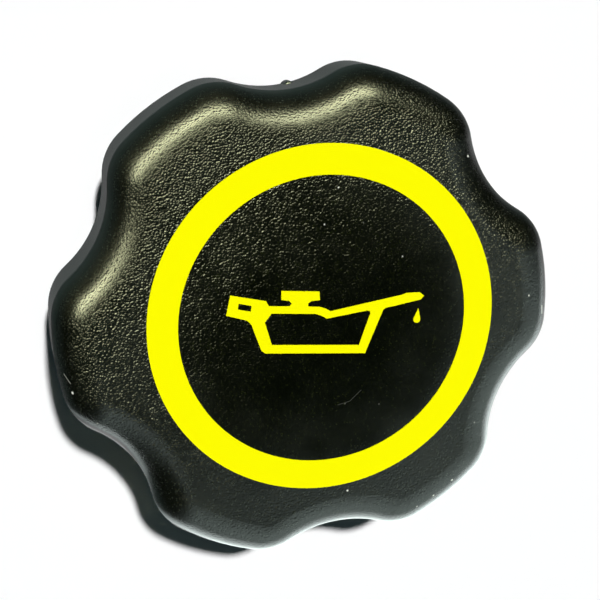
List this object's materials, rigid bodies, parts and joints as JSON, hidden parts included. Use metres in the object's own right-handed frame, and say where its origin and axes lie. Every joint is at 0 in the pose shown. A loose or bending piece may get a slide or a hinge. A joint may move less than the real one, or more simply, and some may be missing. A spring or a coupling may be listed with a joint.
{
  "type": "oil filler cap",
  "caption": "Lobed hand-turned filler cap: flat printed top with rounded edge, hollow ribbed skirt, and a bayonet plug with a rubber seal that closes an engine's oil filler neck.",
  "frame": {"origin": "on the cap's axis at the plug's open end, which the cap stands on", "axes": "+Z along the cap's axis, from the plug's open end to the printed top; +Y is up for the printed oil can"},
  "size_m": [0.075, 0.074, 0.0265],
  "materials": {
    "black_plastic": "fine moulded grain",
    "seal_rubber": "satin",
    "yellow_ink": "printed"
  },
  "bodies": {
    "root": {"cap_body": "black_plastic", "sealing_ring": "seal_rubber", "yellow_ring": "yellow_ink", "oil_can_symbol": "yellow_ink", "oil_drop_symbol": "yellow_ink"}
  },
  "joints": []
}
